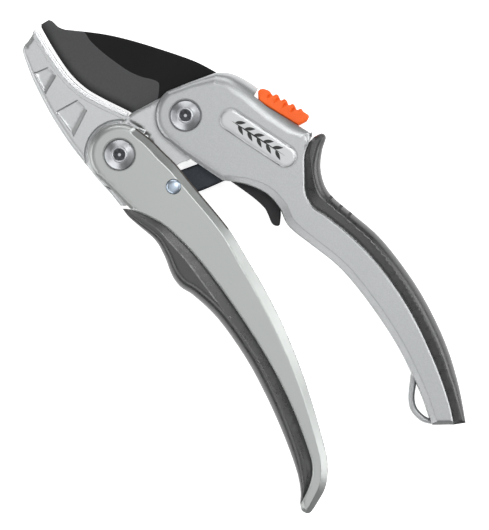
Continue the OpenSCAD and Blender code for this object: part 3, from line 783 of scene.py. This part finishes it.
anvil_line = spline([(-2.4, 57.1), (-2.4, 50), (-2.1, 43), (-1.2, 35.4), (1.2, 28), (5, 21.4),
                     (9.4, 14.9), (11.2, 12.2)]) + P2
anvil_back = spline([(-9.7, 55.2), (-11.3, 54.1), (-12.3, 51.4), (-14, 41.5), (-14.9, 28),
                     (-14.5, 14.5), (-13.2, 4), (-12.1, -4), (-10.6, -11), (-9.8, -17)]) + P2
anvil_tip = np.array([(-3.3, 58.2), (-4.5, 57.9), (-5.4, 56.9), (-8.1, 55.6)]) + P2
arm_inner = beside(anvil_line, -1.9)[::-1]
arm_top = straight(np.vstack([arm_inner[-1:], anvil_tip, anvil_back[:1]]), 0.5)
arm_low = joined(arc(P2, 19.6, 241, 262, 6), [P2 + (7.5, -14)], arc((-11.2, -20.5), 6.1, 108, 62, 9),
                 arc((0, 0), 16, 250, 355, 24), [(19.4, -6.6), (18.6, 1.4), (12, 7), (4, 9.4)])
arm_rim = straight([(4, 9.4), (-6.3, 11), (-17.4, 11.5), tuple(arm_inner[0])])
arm_loop = joined(arm_inner, arm_top, anvil_back, arm_low, arm_rim)
panels = [np.array([(-12.2, 44), (-6.4, 43.2), (-5.4, 38.6), (-12.6, 34.6)]) + P2,
          np.array([(-12.7, 26.9), (-3, 26.6), (-2, 21), (-11.6, 15)]) + P2]


def arm_extra(p):
    """Two recessed panels with a long slope on their lower side, and the groove round the head."""
    z = np.zeros(len(p))
    for q in panels:
        d, _, _ = nearest(p, q, closed=True)
        low, _, _ = nearest(p, q[2:])
        within_q = inside(p, q)
        u = np.minimum(np.clip(np.where(within_q, d, -d) / 1.0 + 0.35, 0, 1),
                       np.where(within_q, np.clip(low / 2.1, 0, 1), 0))
        z += 0.85 * u * (2 - u)
    r = np.hypot(p[:, 0] - P2[0], p[:, 1] - P2[1])
    u = np.clip(1 - np.abs(r - 13.0) / 0.8, 0, 1)
    return z + 0.6 * u * u * (3 - 2 * u)


panel_lines = []
for q in panels:
    ring = straight(closed_line(q), 0.5)
    panel_lines += [(edge(ring, 0.9, 0.0), "swell"), (edge(ring[::-1], 0.6, 0.0), "swell")]
around = arc(P2, 13.0, 60, 200, 80)
arm_edges = [
    (edge(arm_inner, 1.15, 0.9), "step"),
    (edge(arm_top, 1.5, 1.1), "bevel"),
    (edge(anvil_back, (1.2, 2.2, 2.4, 2.2, 2.0), (1.0, 1.5, 1.6, 1.5, 1.2)), "round"),
    (edge(arm_rim, 1.0, 0.8), "bevel"),
    (edge(around, 1.0, 0.0), "swell"), (edge(around[::-1], 1.0, 0.0), "swell")] + panel_lines
arm = relief("anvil_arm_casting", arm_loop, 4.0, arm_edges, grid=1.3, extra=arm_extra)
tongue_in, tongue_out = beside(anvil_line, -1.85)[6:-6], beside(anvil_line, -4.15)[6:-6]
cut(arm,
    prism(joined(arc((0, 0), 22.6, 12, 156, 50), arc((0, 0), 18, 156, 196, 12),
                 arc((0, 0), 22.6, 196, 332, 50)), 6, 10),
    hole((0, 0), 4.02, 0, 16),
    hole(P2, 4.06, 0, 16),
    prism(np.vstack([tongue_in, tongue_out[::-1]]), 6.8, 9.2))
finished(arm, "frame", "arm_alloy", ARM_ALLOY, "anvil_arm")

strip_in = beside(anvil_line, -1.9)
strip_edges = [(edge(anvil_line[::-1], 0.35, 0.25), "bevel"), (edge(strip_in, 0.3, 0.35), "bevel")]


def strip_extra(p):
    """A fine groove along the strip."""
    d, _, _ = nearest(p, anvil_line)
    u = np.clip(1 - np.abs(d - 1.25) / 0.16, 0, 1)
    return 0.22 * u


strip = relief("anvil_strip_face", joined(anvil_line[::-1], strip_in), 3.2, strip_edges, grid=0.6,
               extra=strip_extra,
               lines=[beside(anvil_line, -1.25 + k)[2:-2] for k in (-0.16, 0, 0.16)])
tongue = prism(np.vstack([tongue_in, tongue_out[::-1]]), 6.8, 9.2, "anvil_strip_tongue")
finished(strip, "frame", "strip_steel", STRIP_STEEL, "anvil_strip")
finished(tongue, "frame", "strip_steel", STRIP_STEEL)

CLOSE = 1.2
blade_edge = beside(turned(anvil_line, -CLOSE), 0.25)[::-1]
blade_back = spline([(-22.9, 52.4), (-12, 44.1), (-4.2, 36.9), (4.2, 27.8), (13.6, 16.7),
                     (18.7, 8.6)])
blade_tip = spline([(-26.6, 58.9), (-25.6, 57.9), (-24.6, 54.6), (-22.9, 52.4)])
teeth = []
for i in range(4):
    a = -80 + 6 * i
    for r, b in ((12.6, a), (14.2, a + 0.4), (14.2, a + 1.4)):
        teeth.append((r * math.cos(math.radians(b)), r * math.sin(math.radians(b))))
teeth.append((12.6 * math.cos(math.radians(-56)), 12.6 * math.sin(math.radians(-56))))
blade_loop = joined([(-29.8, 58.9)], blade_edge[::-1], [(-16, 9)], arc((0, 0), 10, 178, 275, 24),
                    teeth, arc((0, 0), 10, 306, 362, 14), [(13, 3.4), (18.4, 6.4)],
                    blade_back[::-1], blade_tip[::-1])
facet = spline([(-17.5, 49.2), (-16.9, 47), (-16.8, 44.1), (-16, 40.7), (-14.5, 36.2),
                (-12.6, 31.6), (-9.9, 25.9), (-6.9, 21.7), (-4.2, 19.1), (-2.7, 17.2),
                (-2.5, 15.8), (-3.8, 13.7), (-5.7, 11.3), (-6.6, 10.2)], 0.5)


def blade_extra(p):
    """The ground bevel slopes from the facet line to the edge, and more at the edge itself."""
    d, _, side = nearest(p, facet)
    e, _, _ = nearest(p, blade_edge)
    share = np.where(side < 0, d / np.maximum(d + e, 1e-6), 0)
    grind = np.clip(1 - e / 2.2, 0, 1)
    return np.clip(0.55 * share + 0.5 * grind * grind, 0, 1.15)


blade_edges = [
    (edge(blade_edge[::-1], 2.2, 0.0), "round"),
    (edge(np.vstack([blade_back[::-1], blade_tip[::-1]]), 0.5, 0.35), "bevel")]
blade = relief("blade_plate", blade_loop, 1.5, blade_edges, grid=0.9, extra=blade_extra,
               lines=[facet[:-2]])
cut(blade, hole((0, 0), 4.05, 0, 16))
finished(blade, "blade", "blade_coating", BLADE_COAT, "blade", angle=22)
# the bevel faces take the paler material, a painted reflection on the same coating
blade.data.materials.append(BLADE_BEVEL_PAINTED_SHEEN)
centres = np.array([q.center[:2] for q in blade.data.polygons]) / MM
_, _, side = nearest(centres, facet)
ground = (side < 0) & (centres[:, 1] > 10.4) & (centres[:, 0] < -2)
blade.data.polygons.foreach_set("material_index", np.where(ground, 1, 0).tolist())
corners = np.array([v.co[:2] for v in blade.data.vertices]) / MM
near_edge, _, _ = nearest(corners, blade_edge)
shadeable = blade.data.attributes.new("near_edge", "FLOAT", "POINT")
shadeable.data.foreach_set("value", np.clip(1 - near_edge / 3.2, 0, 1).astype(np.float32))


# ----------------------------------------------- link, trigger, slider, bolts

boss = arc(P3, 5, 70, 290, 30)
nose = spline([tuple(boss[-1]), (-10.2, -27.7), (-0.8, -29), (2, -29.1), (5.6, -27.2),
               (8.4, -22), (8.9, -17), (7.4, -14), (6, -13.4), (4.8, -15.4), (2.6, -18.4),
               (-1, -18.9), (-5.6, -18.2), (-12.6, -16.9), tuple(boss[0])], 0.5)
link_loop = joined(boss, nose)
link = relief("pawl_link_plate", link_loop, 1.5,
              [(edge(closed_line(link_loop), 0.5, 0.4), "bevel")], grid=1.0)
cut(link, hole(P3, 2.05, 0, 16), hole(P3, 4.0, 7.7, 12))
finished(link, "pawl", "link_black", LINK_BLACK, "pawl_link")

trigger_line = spline([(2.2, -30.7), (6.2, -39.8), (8, -45.6), (8, -48.5), (7.5, -52.4),
                       (8.2, -54.1), (9.6, -54.7), (10.8, -53.4), (13, -50), (14.2, -45.5),
                       (14.6, -40), (16.2, -34), (16.4, -29), (13.6, -27), (10.6, -27.6),
                       (7.5, -29.8), (2.2, -30.7)], 0.5)[:-1]
trigger = relief("trigger_lever", trigger_line, 1.5,
                 [(edge(closed_line(trigger_line), 0.8, 0.6), "round")], grid=0.9)
cut(trigger, hole(PT, 1.3, 0, 16, 32))
finished(trigger, "trigger", "trigger_black", TRIGGER_BLACK, "trigger")

slider_top = [(18.7, 3.2), (18.4, 5.3)]
for x in (14.6, 11.0, 7.4, 3.8):
    slider_top += [(x + 1.1, 5.65), (x + 0.2, 6.1), (x - 0.6, 5.95), (x - 1.1, 5.1), (x - 1.5, 4.9)]
slider_top += [(0.4, 5.7), (-1.6, 5.4), (-2.9, 4.6), (-3.3, 3.4)]
slider_base = straight([(-1.2, 0.2), (16.8, 0.2)], 0.6)
slider_nose = straight([(-3.3, 3.4), (-1.2, 0.2)], 0.6)[1:-1]
slider_loop = joined(on_track(np.vstack([slider_base, spline(slider_top, 0.35), slider_nose])))


def slider_extra(p):
    """Four grooves across the slider's outer half."""
    q = turned(p - TRACK, -TRACK_TURN)
    z = np.zeros(len(p))
    for x in (12.1, 8.5, 4.9, 1.6):
        along = np.abs(q[:, 0] - x - 0.25 * (q[:, 1] - 5.5))
        u = np.clip(1 - along / 0.55, 0, 1) * np.clip((q[:, 1] - 2.2) / 1.6, 0, 1)
        z += 0.9 * u * u * (3 - 2 * u)
    return z


slider = relief("thumb_slider", slider_loop, 6.5,
                [(edge(closed_line(slider_loop), 1.1, 0.9), "round")],
                grid=0.45, extra=slider_extra)
cut(slider, prism(on_track([(4, -1), (8, -1), (8, 2.6), (4, 2.6)]), 6.5, 9.5))
finished(slider, "lock", "orange_plastic", ORANGE, "lock_slider")


def lobed(centre, r, depth, n=90):
    """A six-lobed outline, or a circle when depth is 0."""
    a = (np.arange(n) + 0.37) * 2 * math.pi / n
    rr = r + depth * np.cos(6 * a)
    return np.stack([centre[0] + rr * np.cos(a), centre[1] + rr * np.sin(a)], 1)


def bolt(name, centre, body, node):
    """A domed bolt head with a raised ring round its six-lobed socket, whose faces are painted dark as
    painted shade.
    """
    head = [(0, 2.1), (2.2, 2.1), (2.2, 4.3), (3.0, 4.3), (3.0, 13.6), (5.9, 13.6), (6.0, 13.75),
            (6.0, 14.8), (5.9, 15.05), (5.65, 15.25), (5.35, 15.38), (3.25, 16.1), (3.1, 16.08),
            (3.02, 16.2), (2.98, 16.55), (2.85, 16.68), (2.6, 16.7), (2.42, 16.6), (2.36, 16.4),
            (0, 16.4)]
    ob = lathe(name, head, centre)
    cut(ob, prism(lobed(centre, 1.78, 0.42), 14.6, 18), prism(lobed(centre, 0.6, 0.0, 30), 14.2, 18))
    finished(ob, body, "bolt_zinc", BOLT_ZINC, node, angle=24)
    ob.data.materials.append(SOCKET_PAINTED_SHADE)
    # the socket's faces take the near-black material as painted shade
    for q in ob.data.polygons:
        x, y, z = np.array(q.center) / MM
        in_painted_shade_socket = np.hypot(x - centre[0], y - centre[1]) < 2.25 and 14.3 < z < 16.45
        q.material_index = int(in_painted_shade_socket)


bolt("pivot_bolt_torx", (0, 0), "frame", "pivot_bolt")
bolt("handle_bolt_torx", P2, "lower_handle", "handle_bolt")

dome = [(2.9 * math.cos(t), 15.55 + 0.85 * math.sin(t)) for t in np.radians(np.arange(0, 90, 9))]
foot = [(2.9 * math.cos(t), 0.45 - 0.4 * math.sin(t)) for t in np.radians(np.arange(81, -1, -9))]
rivet = lathe("link_rivet_domed", [(0, 0.05)] + foot + [(2.9, 1), (2, 1), (2, 15), (2.9, 15)] + dome
              + [(0, 16.4)], P3)
finished(rivet, "lower_handle", "rivet_zinc", RIVET_ZINC, "link_rivet")

# the small pieces that keep their CAD shape take a worked metal of their own
KEPT = {"pivot_nut": BOLT_ZINC, "handle_nut": BOLT_ZINC, "pivot_bush": BRONZE,
        "handle_bush": BRONZE, "blade_washers": PLAIN_STEEL, "link_washers": PLAIN_STEEL,
        "arm_dowels": PLAIN_STEEL, "strip_pins": PLAIN_STEEL, "trigger_pin": PLAIN_STEEL,
        "lock_bolt": PLAIN_STEEL, "lock_spring": SPRING_STEEL, "opening_spring": SPRING_STEEL,
        "pawl_spring": SPRING_STEEL, "trigger_spring": SPRING_STEEL}
for node, material in KEPT.items():
    ob = NODES[node]
    ob.data.materials.clear()
    ob.data.materials.append(material)


# ---------------------------------------------------------- studio and camera

floor = to_mesh("studio_floor", [(-3000, -3000, -0.3), (3000, -3000, -0.3), (3000, 3000, -0.3),
                                 (-3000, 3000, -0.3)], [[0, 1, 2, 3]])
n = Nodes("studio_floor_paint")
n.shader.inputs["Emission Color"].default_value = (1, 1, 1, 1)
n.shader.inputs["Emission Strength"].default_value = 0.75
floor.data.materials.append(n.set(
    Base_Color=n.ramp(n.noise(3, 2.0), [(0.3, (0.93, 0.93, 0.93)), (0.7, (0.95, 0.95, 0.95))]),
    Roughness=0.9))

world = bpy.data.worlds.new("studio")
bpy.context.scene.world = world
world.use_nodes = True
world.node_tree.nodes["Background"].inputs["Color"].default_value = (1, 1, 1, 1)
world.node_tree.nodes["Background"].inputs["Strength"].default_value = 0.20


def softbox(name, where, size, power):
    data = bpy.data.lights.new(name, "AREA")
    data.shape = "RECTANGLE"
    data.size, data.size_y = size
    data.energy = power
    ob = bpy.data.objects.new(name, data)
    bpy.context.scene.collection.objects.link(ob)
    target = Vector((-0.01, -0.05, 0))
    ob.location = Vector(where)
    ob.rotation_euler = (target - ob.location).to_track_quat("-Z", "Y").to_euler()


# the picture's right and up on the floor
right = Vector((0.8599, -0.5105, 0))
up = Vector((0.5105, 0.8599, 0))
softbox("softbox_over", Vector((-0.01, -0.06, 2.4)), (2.0, 2.0), 10.5)
softbox("softbox_key", right * 0.62 + up * 0.5 + Vector((0, 0, 1.75)), (0.5, 0.9), 7.0)
softbox("softbox_right", right * 0.95 + up * 0.1 + Vector((0, 0, 0.46)), (0.9, 0.5), 4.5)
softbox("softbox_left", right * -0.95 + up * -0.1 + Vector((0, 0, 0.60)), (0.9, 0.5), 3.2)
softbox("softbox_top", up * 0.95 + Vector((0, 0, 0.7)), (0.9, 0.5), 3.2)
softbox("softbox_low", up * -0.8 + right * -0.5 + Vector((0, 0, 0.9)), (0.9, 0.5), 3.0)

camera = bpy.data.cameras.new("camera")
camera.sensor_width = 36
camera.sensor_height = 36
camera.sensor_fit = "AUTO"
camera.clip_end = 20
CAMERA_HEIGHT = 1.6              # m
FRAME_WIDTH = 0.20405            # m that the picture's longer side shows at mid-height
camera.lens = 36 * (CAMERA_HEIGHT - 0.012) / FRAME_WIDTH
viewer = bpy.data.objects.new("camera", camera)
bpy.context.scene.collection.objects.link(viewer)
viewer.location = (-0.0098, -0.0610, CAMERA_HEIGHT)
viewer.rotation_euler = (0, 0, math.radians(-30.7))
bpy.context.scene.camera = viewer
bpy.context.scene.view_settings.view_transform = "Standard"
